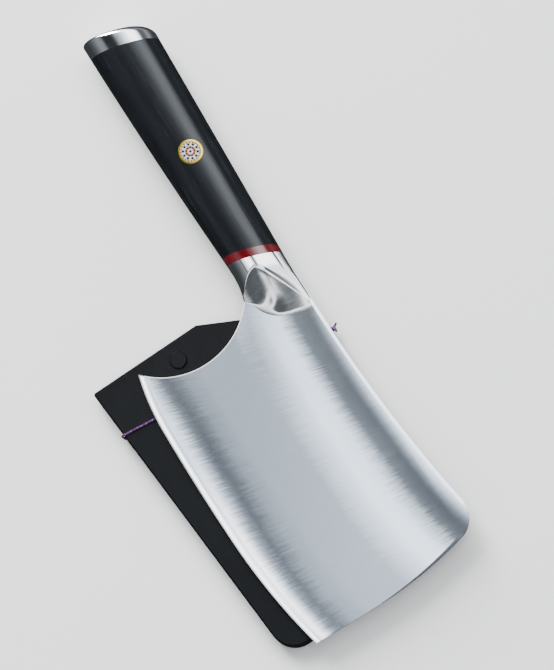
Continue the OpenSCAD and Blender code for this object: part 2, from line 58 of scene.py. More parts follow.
# The cleaver's own frame has its zero in the middle of the spacer's front face, as in part.scad.
FRONT_X = 167.0
EDGE_Y = -79.2042
blade_lo, blade_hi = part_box("blade")
BLADE_Z = 12.8
SHIFT = np.array([blade_hi[0] / MM - FRONT_X, blade_lo[1] / MM - EDGE_Y, BLADE_Z])

GRIP_FRONT_H, GRIP_FRONT_T, GRIP_BUTT_T = 25.3, 22.0, 25.6
SPACER_L, WOOD_L, CAP_L = 4.2, 116.0, 9.0
GRIP_L = SPACER_L + WOOD_L + CAP_L
BACK_RISE, BELLY_DROP, BELLY_X = 6.2, 1.7, 105.0
SPACER_SLANT, CAP_SLANT = math.radians(18.6), math.radians(15.6)
OVAL_POWER = 2.3
CAP_EDGE_R, CAP_CORNER_R = 1.5, 5.5
SPINE_T, SPINE_Y = 2.6, 12.2958
GRIND_SLOPE = 1.0 / 89.5
BOLSTER_L, SHOULDER_X = 34.0, 14.0
HOLLOW_X, HOLLOW_BELLY_X, HOLLOW_TOP = 3.6, 12.8, -0.12
NECK_FLARE, FAN_DROP, FAN_SKEW = 2.4, 5.0, 0.6
NECK_POWER, BORDER_POWER, END_POWER = 1.8, 1.15, 1.9
# How far the bolster stays under the spine, and how far the hollow's end runs on and sinks into the blade
INSET = 0.05
# Share of the hollow's fall that rounds the ridge at its top
RIDGE = 0.07
# The lip before that ridge: the shares of the body between which it grows, and how far it falls in mm
LIP_START, LIP_END, LIP_FALL = 0.7, 0.97, 0.7
# It lies on the spine's side: where it starts and how wide it comes in, as shares of half the grip's height
LIP_V, LIP_V_W = 0.02, 0.14
MOSAIC_X = 58.3
# The wood's normal leans to the belly, evenly from 0 at the first place to this many degrees at the second
WOOD_TILT_X, WOOD_TILT = (-20, -105), -4.5
RING = 192

# The arcs of the blade's outline in the cleaver's own frame, as in part.scad
LOW_EDGE_X, EDGE_BACK_L, EDGE_FORE_L = 72.0, 27.0, 35.0
EDGE_HEEL_R, EDGE_MID_R, EDGE_FRONT_R = 122.0, 1100.0, 306.0
BACK_A, FORE_A = math.asin(EDGE_BACK_L / EDGE_MID_R), math.asin(EDGE_FORE_L / EDGE_MID_R)
EDGE_MID_C = (LOW_EDGE_X, EDGE_Y + EDGE_MID_R)
EDGE_HEEL_C = (EDGE_MID_C[0] - (EDGE_MID_R - EDGE_HEEL_R) * math.sin(BACK_A),
               EDGE_MID_C[1] - (EDGE_MID_R - EDGE_HEEL_R) * math.cos(BACK_A))
EDGE_FRONT_C = (EDGE_MID_C[0] + (EDGE_MID_R - EDGE_FRONT_R) * math.sin(FORE_A),
                EDGE_MID_C[1] - (EDGE_MID_R - EDGE_FRONT_R) * math.cos(FORE_A))
NOTCH_C, NOTCH_R = (-9.24, -45.36), 38.2

# How the ground face rolls between edge and spine: distance from the edge in mm, tilt in degrees
BLADE_BANDS = [
    (2, 8), (6, 8), (12, 0), (15, -2), (22, 1), (30, 2), (50, 2), (66, 8), (72, 7), (79, -2), (85, -4),
    (88, 0), (96, 15),
]
# The same along the bevel, which ends 2 mm from the edge, and just behind it
EDGE_BANDS = [(0, 7), (0.4, 9), (1.2, 22), (2.01, 24), (2.02, 12), (3, 5), (4, 8)]
BLADE_BANDS_W, EDGE_BANDS_W = 100, 4
# The degrees that a full step of tone stands for in each table's ramp
BAND_SCALE, EDGE_SCALE, FACET_SCALE = 20, 30, 80
# Widths in mm of the notch's rim and of the edge strip, both with painted highlight: a near-white base colour
# standing in for reflection
NOTCH_RIM_W, PAINTED_EDGE_HIGHLIGHT_W = 0.35, 2.2
# Tilts of the notch's rim and of the spine, and how far a normal points that way where the spine begins
NOTCH_RIM_TILT, SPINE_TILT, SPINE_TURN = 5, -6, 0.2

# What changes evenly over the blade: from one place to another in mm, from one value to another.
# These go along it: the brush lines' lean, the height that it turns round, and shifts of the bands in mm.
BRUSH_LEAN, LEAN_Y = (15, 165, 0.38, 0.1), -60
HEEL_SHIFT, FRONT_SHIFT, UPPER_SHIFT = (20, 42, 3.6, 0), (90, 150, 0, 2.4), (85, 110, 0, 1.8)
# Further tilts in degrees: the whole face's, and those of the patches by the spine, the heel and the edge
FACE_LEAN, SPINE_LEAN, HEEL_LEAN = (20, 150, -0.8, 0.9), (110, 160, 0, 4), (30, 80, 2.8, 0)
DARK_LEAN, EDGE_LEAN = (70, 110, 0, 0.5), (60, 120, 0, 3)
# The share of painted highlight beside the edge: a lighter base colour standing in for reflection
EDGE_PAINTED_HIGHLIGHT = (60, 120, 0, 0.6)
# These go from the edge to the spine: how far the brush lines fray the bands, and where those patches lie
FRAY = (79, 87, 8.5, 8.5 / 4)
UPPER_PART, SPINE_PART, EDGE_PART = (70, 76, 0, 1), (76, 90, 0, 1), (5, 9, 1, 0)
HEEL_PART, DARK_PART = ((50, 56, 0, 1), (62, 70, 1, 0)), ((9, 13, 0, 1), (16, 20, 1, 0))

# How the collar's polished facets tilt round it: height as a share of half the grip's, tilt in degrees
COLLAR_FACETS = [
    (-0.5, 0), (-0.46, 18), (-0.18, 18), (-0.05, -3), (0.02, 9), (0.2, 7), (0.4, 0), (0.65, -12), (0.68, 0),
    (0.72, -18), (0.9, -34), (0.93, 0),
]


def world(points):
    """Points of the cleaver's own frame, in mm, as points of the row frame, in metres."""
    return (np.asarray(points, float) + SHIFT) * MM


def mix(a, b, t):
    return a + (b - a) * t


def back_y(s):
    return GRIP_FRONT_H / 2 + BACK_RISE * s / GRIP_L


def belly_y(s):
    return -GRIP_FRONT_H / 2 - BELLY_DROP * (1 - (1 - s / BELLY_X) ** 2)


def mid_y(s):
    return (back_y(s) + belly_y(s)) / 2


def half_h(s):
    return (back_y(s) - belly_y(s)) / 2


def half_t(s):
    return mix(GRIP_FRONT_T, GRIP_BUTT_T, s / GRIP_L) / 2


def slant(s):
    return math.tan(mix(SPACER_SLANT, CAP_SLANT, min(1, max(0, (s - SPACER_L) / WOOD_L))))


def oval(a):
    c, s = math.cos(a), math.sin(a)
    return (math.copysign(abs(c) ** (2 / OVAL_POWER), c), math.copysign(abs(s) ** (2 / OVAL_POWER), s))


def grip_point(s, a, share=1.0):
    u, w = oval(a)
    dy = half_h(s) * u * share
    return (-s + dy * slant(s), mid_y(s) + dy, half_t(s) * w * share)


def angles():
    return [2 * math.pi * i / RING for i in range(RING)]


def grip_ring(s):
    return [grip_point(s, a) for a in angles()]


def new_mesh(name, points, faces, smooth=True):
    mesh = bpy.data.meshes.new(name)
    mesh.from_pydata([tuple(p) for p in world(points)], [], faces)
    mesh.update()
    if smooth:
        for p in mesh.polygons:
            p.use_smooth = True
    ob = bpy.data.objects.new(name, mesh)
    bpy.context.scene.collection.objects.link(ob)
    return ob


def lofted(name, rings, close_start=True, close_end=True):
    """A closed skin between rings of as many points each, smooth along its sides and flat at its ends."""
    n = len(rings[0])
    points = [p for r in rings for p in r]
    faces = []
    for i in range(len(rings) - 1):
        for j in range(n):
            a, b = i * n + j, i * n + (j + 1) % n
            faces.append((a, b, b + n, a + n))
    last = (len(rings) - 1) * n
    if close_start:
        faces.append(tuple(range(n - 1, -1, -1)))
    if close_end:
        faces.append(tuple(last + j for j in range(n)))
    ob = new_mesh(name, points, faces)
    ends = [p for p in ob.data.polygons if len(p.vertices) > 4]
    rims = set()
    for p in ends:
        p.use_smooth = False
        rims.update(tuple(sorted(k)) for k in p.edge_keys)
    for e in ob.data.edges:
        if tuple(sorted(e.vertices)) in rims:
            e.use_edge_sharp = True
    return ob


def outward(ob):
    """Turns every face outward."""
    bm = bmesh.new()
    bm.from_mesh(ob.data)
    bmesh.ops.recalc_face_normals(bm, faces=bm.faces)
    bm.to_mesh(ob.data)
    bm.free()


def dress(ob, material, body, slot, *nodes):
    ob.data.materials.clear()
    ob.data.materials.append(material)
    outward(ob)
    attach(ob, body)
    if nodes:
        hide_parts(*nodes)


class Nodes:
    """Builds one material's node tree with short calls."""

    def __init__(self, name):
        self.material = bpy.data.materials.new(name)
        self.material.use_nodes = True
        self.tree = self.material.node_tree
        self.shader = self.tree.nodes["Principled BSDF"]
        self.place = self.tree.nodes.new("ShaderNodeTexCoord").outputs["Object"]

    def new(self, kind, **values):
        node = self.tree.nodes.new(kind)
        for key, value in values.items():
            setattr(node, key, value)
        return node

    def link(self, a, b):
        self.tree.links.new(a, b)

    def feed(self, socket, value):
        if isinstance(value, bpy.types.NodeSocket):
            self.link(value, socket)
        else:
            socket.default_value = value

    def math(self, operation, a, b=0.0):
        node = self.new("ShaderNodeMath", operation=operation)
        for socket, value in zip(node.inputs, (a, b)):
            self.feed(socket, value)
        return node.outputs[0]

    def scaled(self, scale, vector=None):
        node = self.new("ShaderNodeVectorMath", operation="MULTIPLY")
        self.link(vector or self.place, node.inputs[0])
        node.inputs[1].default_value = scale
        return node.outputs[0]

    def split(self, vector=None):
        node = self.new("ShaderNodeSeparateXYZ")
        self.link(vector or self.place, node.inputs[0])
        return node.outputs

    def place_mm(self, axis):
        """A place along one axis of the cleaver's own frame, in mm."""
        return self.math("SUBTRACT", self.math("MULTIPLY", self.split()[axis], 1 / MM), SHIFT[axis])

    def noise(self, scale, detail=3.0, rough=0.5, vector=None):
        node = self.new("ShaderNodeTexNoise")
        self.link(self.scaled(scale, vector), node.inputs["Vector"])
        node.inputs["Scale"].default_value = 1.0
        node.inputs["Detail"].default_value = detail
        node.inputs["Roughness"].default_value = rough
        return node.outputs[0]

    def ramp(self, value, stops, interpolation="LINEAR"):
        node = self.new("ShaderNodeValToRGB")
        node.color_ramp.interpolation = interpolation
        points = node.color_ramp.elements
        while len(points) > 1:
            points.remove(points[-1])
        for i, (place, colour) in enumerate(stops):
            p = points[0] if i == 0 else points.new(place)
            p.position = place
            p.color = (*colour, 1) if isinstance(colour, tuple) else (colour, colour, colour, 1)
        self.feed(node.inputs[0], value)
        return node.outputs[0]

    def span(self, value, low, high, to_low=0.0, to_high=1.0):
        node = self.new("ShaderNodeMapRange")
        for socket, v in zip(node.inputs, (value, low, high, to_low, to_high)):
            self.feed(socket, v)
        return node.outputs[0]

    def blend(self, share, a, b, mode="MIX"):
        node = self.new("ShaderNodeMix", data_type="RGBA", blend_type=mode)
        self.feed(node.inputs[0], share)
        self.feed(node.inputs[6], a if not isinstance(a, tuple) else (*a, 1))
        self.feed(node.inputs[7], b if not isinstance(b, tuple) else (*b, 1))
        return node.outputs[2]

    def bump(self, height, distance, strength=1.0, normal=None):
        node = self.new("ShaderNodeBump")
        node.inputs["Strength"].default_value = strength
        node.inputs["Distance"].default_value = distance
        self.link(height, node.inputs["Height"])
        if normal is not None:
            self.link(normal, node.inputs["Normal"])
        return node.outputs[0]

    def finish(self, **sockets):
        for key, value in sockets.items():
            socket = self.shader.inputs[key.replace("_", " ")]
            if isinstance(value, tuple) and len(value) == 3 and socket.type == "RGBA":
                value = (*value, 1)
            self.feed(socket, value)
        return self.material


def polished_steel():
    m = Nodes("polished_steel")
    fine = m.noise((900, 5000, 5000), 3)
    tone = m.ramp(fine, [(0.3, (0.78, 0.79, 0.81)), (0.7, (0.86, 0.87, 0.885))])
    wear = m.noise((120, 160, 160), 3)
    return m.finish(
        Base_Color=tone, Metallic=1.0, Roughness=m.span(wear, 0.3, 0.7, 0.05, 0.11),
        Normal=m.bump(fine, 0.000004, 0.5),
    )


def arc_distance(m, x, y, centre, radius):
    """How far a place on the blade lies inside an arc of its outline, in mm."""
    dx, dy = m.math("SUBTRACT", x, centre[0]), m.math("SUBTRACT", y, centre[1])
    squares = m.math("ADD", m.math("MULTIPLY", dx, dx), m.math("MULTIPLY", dy, dy))
    return m.math("SUBTRACT", radius, m.math("SQRT", squares))


def tilted(m, degrees, towards):
    """The surface's normal, leant by some degrees towards a direction of the object square to it."""
    turn = m.new("ShaderNodeVectorTransform", vector_type="VECTOR", convert_from="OBJECT", convert_to="WORLD")
    turn.inputs[0].default_value = towards
    lean = m.new("ShaderNodeVectorMath", operation="SCALE")
    m.link(turn.outputs[0], lean.inputs[0])
    m.feed(lean.inputs["Scale"], m.math("TANGENT", m.math("RADIANS", degrees)))
    total = m.new("ShaderNodeVectorMath", operation="ADD")
    m.link(m.new("ShaderNodeNewGeometry").outputs["Normal"], total.inputs[0])
    m.link(lean.outputs[0], total.inputs[1])
    unit = m.new("ShaderNodeVectorMath", operation="NORMALIZE")
    m.link(total.outputs[0], unit.inputs[0])
    return unit.outputs[0]


def tilts(m, share, stops, scale):
    """A tilt in degrees, looked up by a share from 0 to 1 in stops of (share, degrees)."""
    tone = m.ramp(share, [(at, degrees / scale + 0.5) for at, degrees in stops])
    return m.math("MULTIPLY", m.math("SUBTRACT", tone, 0.5), scale)


def edge_depth(m, x, y):
    """How far a place on the blade lies from its cutting edge, in mm."""
    heel = arc_distance(m, x, y, EDGE_HEEL_C, EDGE_HEEL_R)
    middle = arc_distance(m, x, y, EDGE_MID_C, EDGE_MID_R)
    fore = arc_distance(m, x, y, EDGE_FRONT_C, EDGE_FRONT_R)
    is_heel = m.math("LESS_THAN", x, LOW_EDGE_X - EDGE_BACK_L)
    is_fore = m.math("GREATER_THAN", x, LOW_EDGE_X + EDGE_FORE_L)
    return m.span(is_fore, 0, 1, m.span(is_heel, 0, 1, middle, heel), fore)


def blade_tilt(m, x, depth, fray):
    """The ground face's tilt in degrees: its bands, then the patches that lean more."""
    def patch(along, *across):
        value = m.span(x, *along)
        for stretch in across:
            value = m.math("MULTIPLY", value, m.span(depth, *stretch))
        return value

    frayed = m.math("ADD", depth, m.math("MULTIPLY", m.math("SUBTRACT", fray, 0.5), m.span(depth, *FRAY)))
    # The bands lie nearer the edge at the heel and at the front, less so on the upper part of the front.
    frayed = m.math("ADD", frayed, m.math("ADD", m.span(x, *HEEL_SHIFT), m.span(x, *FRONT_SHIFT)))
    frayed = m.math("SUBTRACT", frayed, patch(UPPER_SHIFT, UPPER_PART))
    stops = [(d / BLADE_BANDS_W, v) for d, v in BLADE_BANDS]
    tilt = tilts(m, m.span(frayed, 0, BLADE_BANDS_W), stops, BAND_SCALE)
    tilt = m.math("ADD", tilt, m.span(x, *FACE_LEAN))
    tilt = m.math("SUBTRACT", tilt, patch(SPINE_LEAN, SPINE_PART))
    tilt = m.math("SUBTRACT", tilt, patch(HEEL_LEAN, *HEEL_PART))
    tilt = m.math("ADD", tilt, patch(DARK_LEAN, *DARK_PART))
    edge = m.ramp(m.span(depth, 0, EDGE_BANDS_W), [(d / EDGE_BANDS_W, v / EDGE_SCALE) for d, v in EDGE_BANDS])
    near_edge = m.math("LESS_THAN", depth, EDGE_BANDS_W)
    tilt = m.span(near_edge, 0, 1, tilt, m.math("MULTIPLY", edge, EDGE_SCALE))
    return m.math("ADD", tilt, patch(EDGE_LEAN, EDGE_PART))


def blade_steel():
    m = Nodes("blade_steel")
    x, y = m.place_mm(0), m.place_mm(1)
    depth = edge_depth(m, x, y)
    # The brush lines run from the edge to the spine and lean forward, most at the heel.
    line = m.math("SUBTRACT", x, m.math("MULTIPLY", m.math("SUBTRACT", y, LEAN_Y), m.span(x, *BRUSH_LEAN)))
    lines = m.new("ShaderNodeCombineXYZ")
    m.link(line, lines.inputs[0])
    m.link(y, lines.inputs[1])
    fray = m.noise((1.3, 0.06, 1), 3, 0.65, lines.outputs[0])
    brush = m.noise((9, 0.1, 1), 4, 0.6, lines.outputs[0])
    tilt = blade_tilt(m, x, depth, fray)
    on_rim = m.math("GREATER_THAN", arc_distance(m, x, y, NOTCH_C, NOTCH_R), -NOTCH_RIM_W)
    turned = m.split(m.new("ShaderNodeTexCoord").outputs["Normal"])
    on_spine = m.math("GREATER_THAN", turned[1], SPINE_TURN)
    tilt = m.span(on_rim, 0, 1, tilt, NOTCH_RIM_TILT)
    tilt = m.span(on_spine, 0, 1, tilt, SPINE_TILT)
    tone = m.ramp(brush, [(0.3, (0.585, 0.665, 0.77)), (0.7, (0.655, 0.73, 0.83))])
    # Painted highlight: the base colour goes near white on the edge strip, the notch's rim and a patch beside
    # the edge, standing in for reflection.
    bright = m.math("MULTIPLY", m.span(x, *EDGE_PAINTED_HIGHLIGHT), m.span(depth, *EDGE_PART))
    on_painted_edge_highlight = m.math("LESS_THAN", depth, PAINTED_EDGE_HIGHLIGHT_W)
    tone = m.blend(m.math("MAXIMUM", bright, m.math("MAXIMUM", on_rim, on_painted_edge_highlight)), tone, (0.93, 0.94, 0.95))
    return m.finish(
        Base_Color=tone, Metallic=1.0, Roughness=m.span(brush, 0.3, 0.7, 0.16, 0.22),
        Anisotropic=0.4, Normal=m.bump(brush, 0.000006, 0.5, tilted(m, tilt, (0, 1, 0))),
    )


def collar_steel():
    m = Nodes("collar_steel")
    fine = m.noise((900, 5000, 5000), 3)
    streaks = m.noise((10, 900, 90), 3, 0.5)
    v = m.math("DIVIDE", m.place_mm(1), GRIP_FRONT_H / 2)
    v = m.math("ADD", v, m.span(streaks, 0.3, 0.7, -0.02, 0.02))
    tilt = tilts(m, m.span(v, -1, 1), [(at / 2 + 0.5, d) for at, d in COLLAR_FACETS], FACET_SCALE)
    tone = m.ramp(fine, [(0.3, (0.8, 0.81, 0.83)), (0.7, (0.88, 0.89, 0.905))])
    return m.finish(
        Base_Color=tone, Metallic=1.0, Roughness=m.span(fine, 0.3, 0.7, 0.05, 0.1),
        Normal=tilted(m, tilt, (0, 1, 0)),
    )


def satin_steel():
    m = Nodes("satin_steel")
    brush = m.noise((900, 260, 900), 4, 0.6)
    tone = m.ramp(brush, [(0.3, (0.62, 0.63, 0.655)), (0.7, (0.72, 0.73, 0.75))])
    return m.finish(
        Base_Color=tone, Metallic=1.0, Roughness=m.span(brush, 0.3, 0.7, 0.14, 0.2),
        Normal=m.bump(brush, 0.000006, 0.5),
    )


def black_pakkawood():
    m = Nodes("black_pakkawood")
    grain = m.noise((60, 1700, 1700), 5, 0.6)
    layers = m.noise((14, 420, 420), 4, 0.6)
    both = m.math("ADD", m.math("MULTIPLY", grain, 0.55), m.math("MULTIPLY", layers, 0.45))
    tone = m.ramp(both, [
        (0.34, (0.0026, 0.0029, 0.0036)), (0.52, (0.006, 0.0067, 0.0084)), (0.68, (0.017, 0.0189, 0.0236)),
    ])
    fore, butt = (world([[x, 0, 0]])[0][0] for x in WOOD_TILT_X)
    tilt = m.span(m.split()[0], fore, butt, 0, WOOD_TILT)
    return m.finish(
        Base_Color=tone, Roughness=m.span(both, 0.38, 0.62, 0.25, 0.13), Specular_IOR_Level=0.5,
        Specular_Tint=(0.88, 0.94, 1.0), Normal=m.bump(grain, 0.00009, 0.5, tilted(m, tilt, (0, 1, 0))),
    )


def red_resin():
    m = Nodes("red_resin")
    cloud = m.noise((300, 900, 900), 3)
    tone = m.ramp(cloud, [(0.3, (0.07, 0.001, 0.003)), (0.7, (0.11, 0.002, 0.006))])
    return m.finish(
        Base_Color=tone, Roughness=m.span(cloud, 0.3, 0.7, 0.1, 0.16), Coat_Weight=1.0, Coat_Roughness=0.05,
        Coat_IOR=1.7,
    )


def pin_depth(m):
    """How far a place lies inside the mosaic pin's rim, in mm."""
    x, y = m.place_mm(0), m.place_mm(1)
    return arc_distance(m, x, y, (-MOSAIC_X, MOSAIC_Y), TUBE_R)


def mosaic_brass():
    m = Nodes("mosaic_brass")
    fine = m.noise((5000, 5000, 5000), 3)
    tone = m.ramp(fine, [(0.3, (0.5, 0.35, 0.03)), (0.7, (0.7, 0.52, 0.08))])
    # Painted shade: a thin near-black ring at the brass's outer rim, where shade falls between the pin and the
    # wood.
    painted_shade_line = m.math("LESS_THAN", pin_depth(m), SHADE_LINE_W)
    return m.finish(
        Base_Color=m.blend(painted_shade_line, tone, (0.01, 0.01, 0.01)), Metallic=1.0,
        Roughness=m.span(fine, 0.3, 0.7, 0.2, 0.28),
    )


def mosaic_resin():
    m = Nodes("mosaic_resin")
    fine = m.noise((4000, 4000, 4000), 3)
    white, orange, gold = (0.52, 0.54, 0.58), (0.42, 0.17, 0.09), (0.5, 0.4, 0.2)
    rings = m.ramp(m.math("DIVIDE", pin_depth(m), TUBE_R), [
        (0, gold), (WHITE_FROM / TUBE_R, white), (ORANGE_FROM / TUBE_R, orange), (CORE_FROM / TUBE_R, white),
    ], "CONSTANT")
    return m.finish(
        Base_Color=m.blend(1.0, rings, m.ramp(fine, [(0.3, 0.9), (0.7, 1.0)]), "MULTIPLY"),
        Roughness=m.span(fine, 0.3, 0.7, 0.25, 0.33), Specular_IOR_Level=0.1,
    )


def mosaic_rod(name, dark, light, rough):
    m = Nodes(name)
    fine = m.noise((4000, 4000, 4000), 3)
    return m.finish(
        Base_Color=m.ramp(fine, [(0.3, dark), (0.7, light)]),
        Roughness=m.span(fine, 0.3, 0.7, rough, rough + 0.08), Specular_IOR_Level=0.02,
    )


def black_coating(name):
    m = Nodes(name)
    grain = m.noise((90, 900, 900), 4)
    cloud = m.noise((18, 24, 24), 3)
    both = m.math("ADD", m.math("MULTIPLY", grain, 0.4), m.math("MULTIPLY", cloud, 0.6))
    tone = m.ramp(both, [(0.35, (0.002, 0.0026, 0.0034)), (0.65, (0.0038, 0.0047, 0.006))])
    return m.finish(
        Base_Color=tone, Roughness=m.span(both, 0.35, 0.65, 0.4, 0.5), Specular_IOR_Level=0.09,
        Normal=m.bump(grain, 0.00003, 0.3),
    )


# light scales every tone of the thread: above 1 it makes a painted lit copy, below 1 a painted shaded copy.
def purple_thread(name="purple_thread", light=1.0):
    m = Nodes(name)
    fuzz = m.noise((6000, 6000, 6000), 4)
    spots = m.noise((900, 900, 900), 2)
    both = m.math("ADD", m.math("MULTIPLY", fuzz, 0.3), m.math("MULTIPLY", spots, 0.7))
    deep, middle = (0.035, 0.006, 0.05), (0.09, 0.016, 0.13)
    bright = (min(0.6, 0.3 * light), min(0.4, 0.11 * light), min(0.8, 0.4 * light))
    tone = m.ramp(both, [
        (0.4, tuple(c * light for c in deep)), (0.52, tuple(c * light for c in middle)), (0.62, bright),
    ])
    return m.finish(
        Base_Color=tone, Roughness=m.span(fuzz, 0.3, 0.7, 0.6, 0.8), Sheen_Weight=0.15, Specular_IOR_Level=0.3,
        Normal=m.bump(fuzz, 0.00005, 0.6),
    )


def pale_floor():
    m = Nodes("pale_floor")
    cloud = m.noise((4, 4, 4), 2)
    tone = m.ramp(cloud, [(0.3, 0.86), (0.7, 0.88)])
    return m.finish(Base_Color=tone, Roughness=0.6, Specular_IOR_Level=0.2)


# The last of these is the width in mm of the painted shade line round the brass's rim.
TUBE_R, TUBE_WALL, MOSAIC_RISE, SHADE_LINE_W = 6.0, 1.0, 1.2, 0.16
BORE_R = TUBE_R - TUBE_WALL
MOSAIC_Y = mid_y(MOSAIC_X) + MOSAIC_RISE
# Where the resin's colour changes, by the distance from the pin's rim in mm
WHITE_FROM, ORANGE_FROM, CORE_FROM = 1.75, 3.45, 4.6

STEEL = polished_steel()
WOOD = black_pakkawood()
COPPER = mosaic_rod("mosaic_copper", (0.03, 0.007, 0.004), (0.09, 0.022, 0.009), 0.25)
DARK_ROD = mosaic_rod("mosaic_dark", (0.002, 0.002, 0.003), (0.005, 0.005, 0.007), 0.35)
PIN_WOOD = black_coating("pin_wood")
COATING = black_coating("black_coating")
THREAD = purple_thread()
# Painted lit and shaded copies of the same thread: the knot's turn is drawn lighter and its two ends darker,
# as light and shade fall on them.
KNOT_THREAD_PAINTED_LIT = purple_thread("purple_thread_painted_lit", 2.4)
END_THREAD_PAINTED_SHADE = purple_thread("purple_thread_painted_shade", 0.14)

# The grip: wood, spacer and cap
wood_steps, spacer_steps, cap_steps, straight_steps = 90, 6, 14, 3
wood = lofted("grip_wood", [grip_ring(SPACER_L + WOOD_L * i / wood_steps) for i in range(wood_steps + 1)])
dress(wood, WOOD, "cleaver", "black_pakkawood", "handle")
spacer = lofted("spacer_ring", [grip_ring(SPACER_L * i / spacer_steps) for i in range(spacer_steps + 1)])
dress(spacer, red_resin(), "cleaver", "red_resin", "red_spacer")


def cap_radius(a):
    return mix(CAP_EDGE_R, CAP_CORNER_R, ((1 + math.cos(a)) / 2) ** 2)


def cap_ring(t):
    ring = []
    for a in angles():
        r = cap_radius(a)
        s = GRIP_L - r * (1 - math.sin(t * math.pi / 2))
        ring.append(grip_point(s, a, 1 - r * (1 - math.cos(t * math.pi / 2)) / half_t(s)))
    return ring


cap_start = SPACER_L + WOOD_L
cap_first = cap_ring(0)
straight = [
    [tuple(mix(np.array(p), np.array(q), k / straight_steps)) for p, q in zip(grip_ring(cap_start), cap_first)]
    for k in range(straight_steps)
]
cap = lofted("butt_cap", straight + [cap_ring(i / cap_steps) for i in range(cap_steps + 1)])
dress(cap, STEEL, "cleaver", "polished_steel", "end_cap")


# The bolster: its solid's form in finer steps, with a lip at the ridge and a soft swelling in the hollow
def smooth_step(t):
    t = min(1, max(0, t))
    return t * t * (3 - 2 * t)


def face_z(y):
    return SPINE_T / 2 - max(0, SPINE_Y - y) * GRIND_SLOPE


def bolster_y(v, x):
    t = max(0, x) / SHOULDER_X
    if v > 0:
        return v * mix(GRIP_FRONT_H / 2, SPINE_Y - INSET, min(1, t))
    return v * GRIP_FRONT_H / 2 - v * v * NECK_FLARE * t * t


def bolster_half_t(x):
    return mix(GRIP_FRONT_T / 2, SPINE_T / 2, (max(0, x) / BOLSTER_L) ** NECK_POWER)


def border_x(v):
    if v < HOLLOW_TOP:
        return mix(HOLLOW_X, HOLLOW_BELLY_X, ((HOLLOW_TOP - v) / (HOLLOW_TOP + 1)) ** 2)
    return mix(HOLLOW_X, BOLSTER_L, ((v - HOLLOW_TOP) / (1 - HOLLOW_TOP)) ** BORDER_POWER)


def hollow_end(v):
    x = mix(BOLSTER_L + INSET, SHOULDER_X + INSET, ((1 - v) / 2) ** END_POWER)
    y = bolster_y(v, min(x, SHOULDER_X)) - FAN_DROP * (1 - v * v) ** 2 * (1 - FAN_SKEW * v)
    return x, y


# The soft swelling that parts the hollow in two: its line as (v, t), and how wide it is
SWELL = [
    (0.07, 0.16), (0.1, 0.3), (0.11, 0.45), (0.06, 0.6), (-0.04, 0.7), (-0.2, 0.79), (-0.4, 0.87),
    (-0.65, 0.92),
]
SWELL_V, SWELL_T, SWELL_CUT = 0.15, 0.1, 0.48
SWELL_LINE = np.array([[np.interp(k, range(len(SWELL)), [p[i] for p in SWELL]) for i in (0, 1)]
                       for k in np.linspace(0, len(SWELL) - 1, 60)])
# Past its crease the hollow runs out flatter: the crease's t by v and its width, then the slopes there
CREASE_V, CREASE_T, CREASE_W = (-1, -0.3, 0, 0.3, 0.6, 1), (0.8, 0.8, 0.87, 0.87, 0.78, 0.7), 0.08
FOOT_SLOPE, END_SLOPE, END_START = 0.35, 0.15, 0.9


def hollow_slope(t, v):
    """How steeply the hollow falls at a share t of its length."""
    crease = np.interp(v, CREASE_V, CREASE_T)
    off = (SWELL_LINE - (v, t)) / (SWELL_V, SWELL_T)
    swell = math.exp(-min(np.sum(off * off, axis=1)))
    side = 1 - smooth_step((t - crease) / CREASE_W)
    foot = mix(FOOT_SLOPE, END_SLOPE, smooth_step((t - END_START) / 0.1))
    return min(1, t / RIDGE) * mix(foot, 1 - SWELL_CUT * swell, side)


def hollow_falls(v, shares):
    """Height over the hollow's foot at the shares of its length, from 1 at its top to 0."""
    slopes = np.array([hollow_slope(t, v) for t in shares])
    steps = (slopes[1:] + slopes[:-1]) / 2 * np.diff(shares)
    return 1 - np.concatenate([[0], np.cumsum(steps)]) / np.sum(steps)


def body_point(a, t):
    u, w = oval(a)
    x = mix(u * GRIP_FRONT_H / 2 * math.tan(SPACER_SLANT), border_x(u), t)
    grown = min(1, max(0, (t - LIP_START) / (LIP_END - LIP_START)))
    lip = LIP_FALL * smooth_step((u - LIP_V) / LIP_V_W) * grown
    return (x, bolster_y(u, x), (bolster_half_t(x) - lip) * w)


def hollow_line(a, shares):
    v = oval(a)[0]
    top = body_point(a, 1)
    ex, ey = hollow_end(v)
    side = 0 if abs(math.sin(a)) < 0.001 else math.copysign(1, math.sin(a))
    foot = side * (face_z(ey) - INSET)
    return [(mix(top[0], ex, t), mix(top[1], ey, t), mix(foot, top[2], h))
            for t, h in zip(shares, hollow_falls(v, shares))]


body_steps, hollow_steps = 40, 56
collar = lofted(
    "bolster_collar", [[body_point(a, i / body_steps) for a in angles()] for i in range(body_steps + 1)],
    close_end=False,
)
dress(collar, collar_steel(), "cleaver", "polished_steel", "bolster")
# The hollow's steps lie closer together at the ridge.
crowding = 1.4
hollow_shares = [(i / hollow_steps) ** crowding for i in range(hollow_steps + 1)]
hollow = lofted(
    "bolster_hollow", list(zip(*(hollow_line(a, hollow_shares) for a in angles()))),
    close_start=False, close_end=False,
)
dress(hollow, satin_steel(), "cleaver", "polished_steel", "bolster")


# The mosaic pin: each piece follows the round of the grip on both faces, a hair proud of it.
def grip_surface(x, y):
    """Half of the grip's thickness at a place on it, in mm."""
    s = -x
    for _ in range(6):
        s = -x + (y - mid_y(s)) * slant(s)
    u = min(0.999, abs(y - mid_y(s)) / half_h(s))
    return half_t(s) * (1 - u ** OVAL_POWER) ** (1 / OVAL_POWER)


